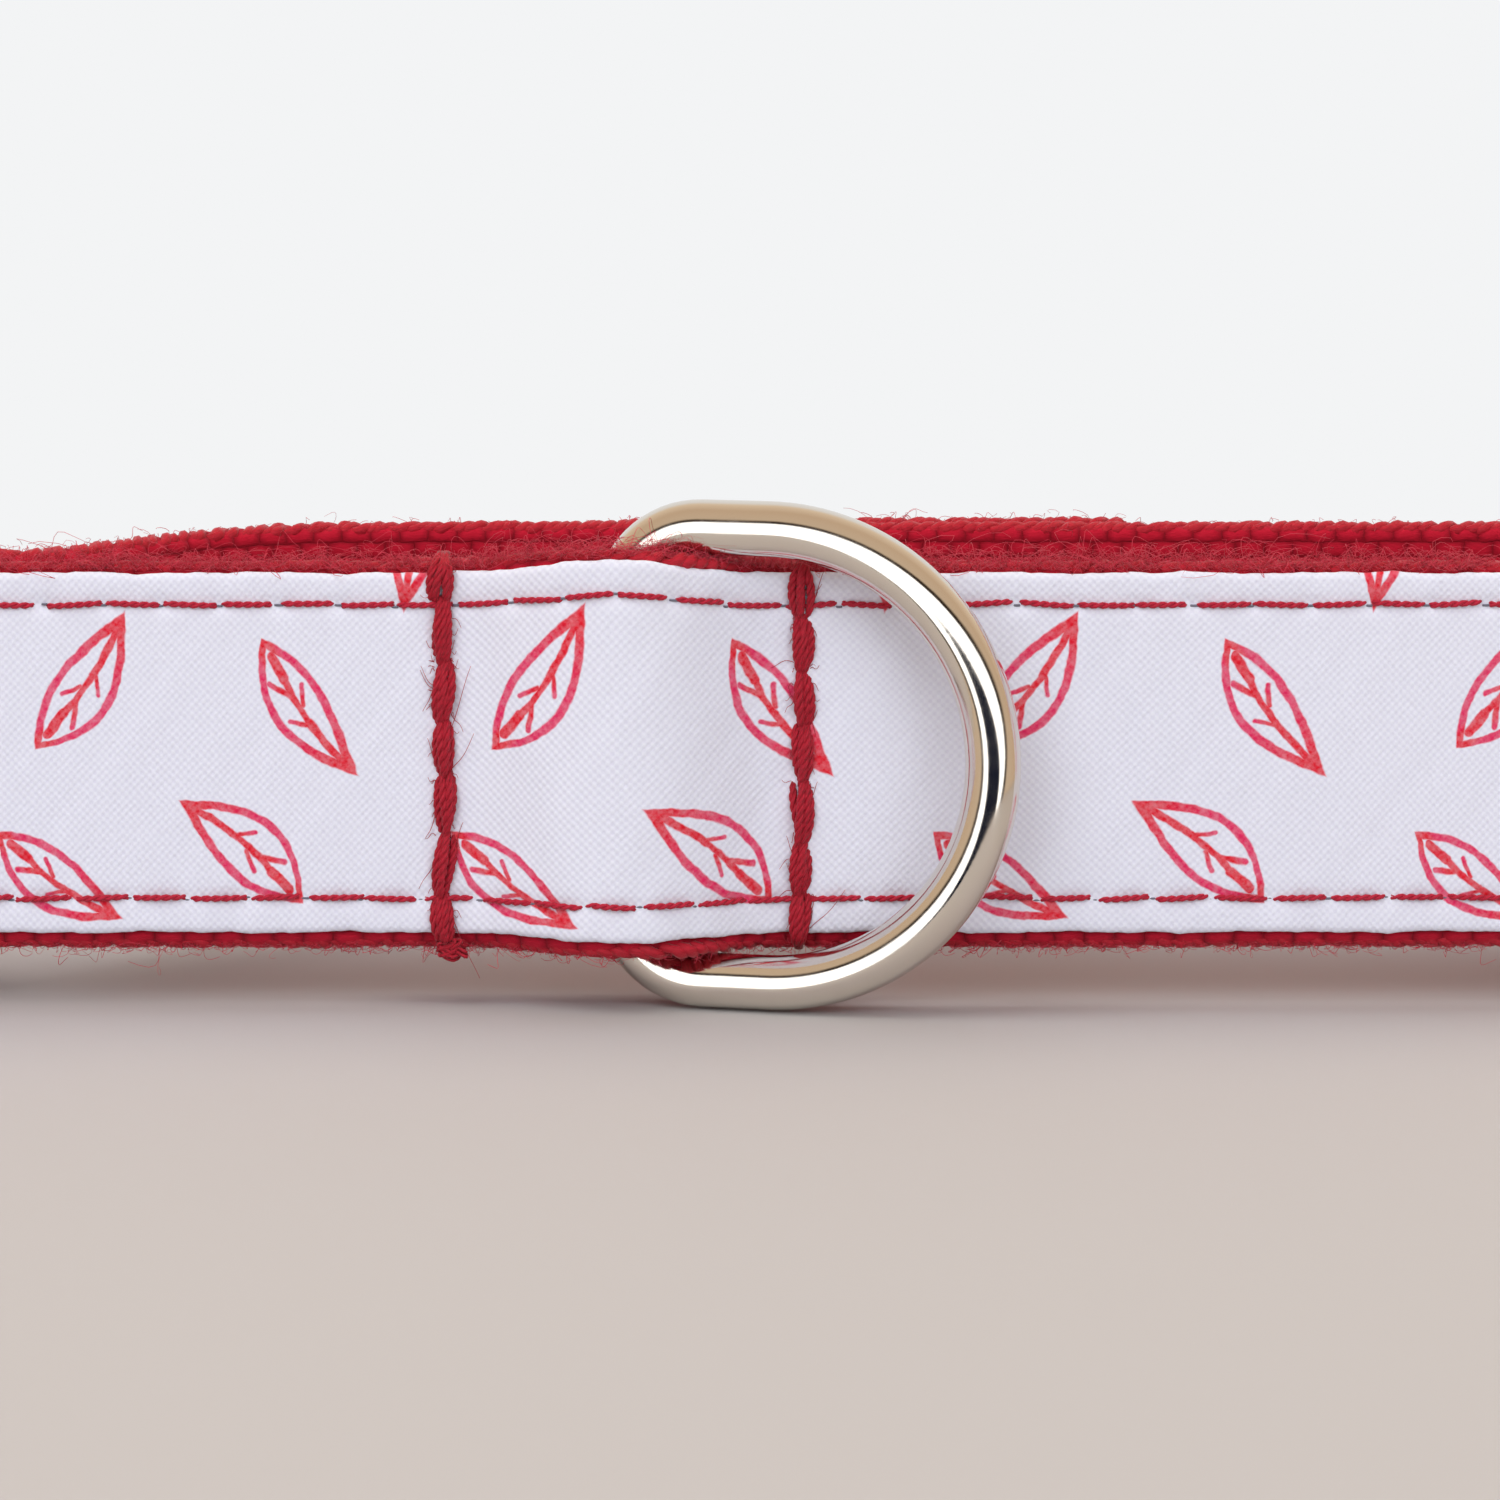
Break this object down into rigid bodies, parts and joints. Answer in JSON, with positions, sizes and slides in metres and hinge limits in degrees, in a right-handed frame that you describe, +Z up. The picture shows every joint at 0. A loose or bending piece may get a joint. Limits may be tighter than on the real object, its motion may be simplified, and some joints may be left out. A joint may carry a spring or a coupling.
{
  "type": "martingale collar",
  "caption": "Printed webbing dog collar with a cinching control loop through two welded rings, a half-round leash ring and a strap slider, standing on edge.",
  "frame": {"origin": "under the middle of the collar's box, on the surface that the hardware stands on", "axes": "+X from the neck strap's closed end to the control loop's free turn, +Y away from the control loop's printed front, +Z up along the strap's width"},
  "size_m": [0.2678, 0.089, 0.0324],
  "materials": {
    "webbing": "woven crimson webbing",
    "print": "plain-woven cotton with a small leaf print",
    "thread": "twisted crimson sewing thread",
    "nickel": "bright nickel plate"
  },
  "bodies": {
    "neck_strap": {"neck_webbing": "webbing", "neck_print": "print", "neck_end_stitch_near": "thread", "neck_end_stitch_far": "thread"},
    "front_ring": {"neck_ring_front": "nickel"},
    "rear_ring": {"neck_ring_rear": "nickel"},
    "control_loop": {"control_loop_webbing": "webbing", "control_loop_print": "print", "d_ring_backing_tab": "webbing", "d_ring_stitch_left": "thread", "d_ring_stitch_right": "thread", "loop_closure_stitch_left": "thread", "loop_closure_stitch_right": "thread"},
    "leash_ring": {"d_ring": "nickel"},
    "slider_body": {"slider": "nickel", "slider_end_webbing": "webbing", "slider_end_stitch": "thread"}
  },
  "joints": [
    {"name": "front_ring_swing", "type": "hinge", "parent": "neck_strap", "child": "front_ring", "pos_m": [-0.00026, -0.00684, 0.0162], "axis": [0, 0, 1], "range_deg": [-8, 8]},
    {"name": "rear_ring_swing", "type": "hinge", "parent": "neck_strap", "child": "rear_ring", "pos_m": [-0.00026, 0.00684, 0.0162], "axis": [0, 0, 1], "range_deg": [-8, 8]},
    {"name": "control_loop_swing", "type": "hinge", "parent": "front_ring", "child": "control_loop", "pos_m": [0.01449, -0.00205, 0.0162], "axis": [0, 0, 1], "range_deg": [-26, 26]},
    {"name": "leash_ring_flip", "type": "hinge", "parent": "control_loop", "child": "leash_ring", "pos_m": [0.06149, -0.00615, 0.0162], "axis": [0, 0, 1], "range_deg": [-152, 2]},
    {"name": "slider_slide", "type": "slide", "parent": "neck_strap", "child": "slider_body", "axis": [-0.9272, 0.3746, 0], "range_m": [-0.012, 0.012]}
  ],
  "couplings": [
    {"joint": "rear_ring_swing", "follows": "front_ring_swing", "ratio": 1},
    {"joint": "control_loop_swing", "follows": "front_ring_swing", "ratio": -3.25}
  ]
}
